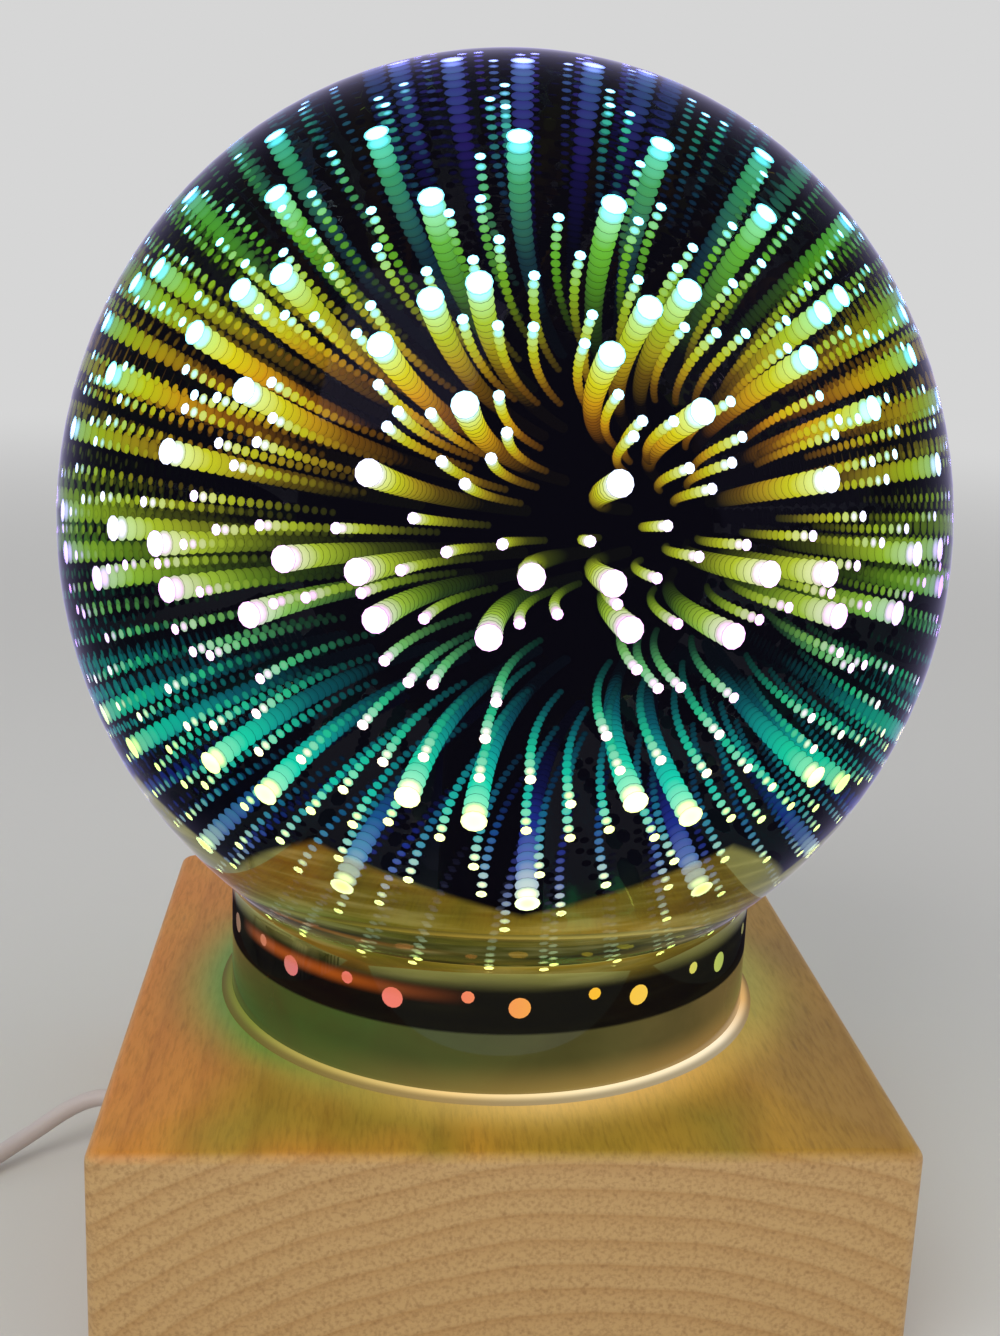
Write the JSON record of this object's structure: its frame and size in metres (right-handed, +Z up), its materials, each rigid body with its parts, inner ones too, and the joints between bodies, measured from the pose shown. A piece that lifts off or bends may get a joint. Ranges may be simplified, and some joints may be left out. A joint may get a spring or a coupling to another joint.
{
  "type": "night light",
  "caption": "Night light: a mirrored glass globe with round clear dots on a square wooden base, lit from its neck, with a USB lead and in-line rocker switch.",
  "frame": {"origin": "on the table, under the centre of the wooden base", "axes": "+Z up, -Y towards the front, +X to the right as seen from the front; the lead leaves at -X"},
  "size_m": [0.2438, 0.1498, 0.2017],
  "materials": {
    "pale_wood": "sanded beech with a clear satin oil, its edges lightly rounded",
    "black_abs": "moulded ABS, fine texture",
    "zinc_steel": "zinc-plated steel",
    "foot_rubber": "moulded rubber, matt",
    "globe_glass": "blown soda glass, outside polished, with a half-mirror coating",
    "mirror_film": "vacuum-deposited mirror coating with round clear dots",
    "clear_silicone": "clear silicone, moulded and laid as a bead",
    "white_plastic": "moulded white plastic",
    "white_board": "aluminium circuit board with white solder mask",
    "led_package": "white LED package with a phosphor-yellow window",
    "green_board": "glass-epoxy board with green solder mask",
    "black_component": "black moulded component",
    "red_wire": "red PVC insulation",
    "black_wire": "black PVC insulation",
    "cord_pvc": "soft PVC, satin, a pinkish light grey",
    "switch_plastic": "moulded ABS in the lead's colour",
    "rocker_plastic": "moulded ABS, satin black",
    "nickel_steel": "nickel-plated formed steel",
    "contact_brass": "gold-coloured contact metal"
  },
  "bodies": {
    "lamp": {"base_block": "pale_wood", "bottom_cover": "black_abs", "cover_screw_1": "zinc_steel", "cover_screw_2": "zinc_steel", "cover_screw_3": "zinc_steel", "cover_screw_4": "zinc_steel", "rubber_foot_1": "foot_rubber", "rubber_foot_2": "foot_rubber", "rubber_foot_3": "foot_rubber", "rubber_foot_4": "foot_rubber", "glass_globe": "globe_glass", "mirror_film": "mirror_film", "seat_gasket": "clear_silicone", "foot_bead": "clear_silicone", "led_holder": "white_plastic", "holder_screw_1": "zinc_steel", "holder_screw_2": "zinc_steel", "holder_screw_3": "zinc_steel", "led_board": "white_board", "led_1": "led_package", "led_2": "led_package", "led_3": "led_package", "led_4": "led_package", "led_5": "led_package", "led_6": "led_package", "led_7": "led_package", "driver_board": "green_board", "driver_chip": "black_component", "driver_capacitor": "black_component", "wire_socket": "white_plastic", "board_screw_1": "zinc_steel", "board_screw_2": "zinc_steel", "led_wire_red": "red_wire", "led_wire_black": "black_wire", "supply_wire_red": "red_wire", "supply_wire_black": "black_wire", "cord_strain_relief": "cord_pvc", "cord_tail": "cord_pvc", "cord_clamp": "white_plastic", "clamp_screw_1": "zinc_steel", "clamp_screw_2": "zinc_steel", "cord_lead": "cord_pvc", "cord_coil": "cord_pvc", "cord_tie": "black_component", "cord_end": "cord_pvc", "switch_lower_shell": "switch_plastic", "switch_upper_shell": "switch_plastic", "switch_pivot_pin": "zinc_steel", "switch_terminal_out": "contact_brass", "switch_terminal_in": "contact_brass", "switch_screw": "zinc_steel", "plug_body": "cord_pvc", "plug_shell": "nickel_steel", "plug_insert": "white_plastic", "plug_contact_1": "contact_brass", "plug_contact_2": "contact_brass", "plug_contact_3": "contact_brass", "plug_contact_4": "contact_brass"},
    "rocker": {"switch_rocker": "rocker_plastic", "switch_contact": "contact_brass"}
  },
  "joints": [
    {"name": "rocker_hinge", "type": "hinge", "parent": "lamp", "child": "rocker", "pos_m": [-0.15839, 0.014, 0.0105], "axis": [1, 0, 0], "range_deg": [0, 16]}
  ]
}
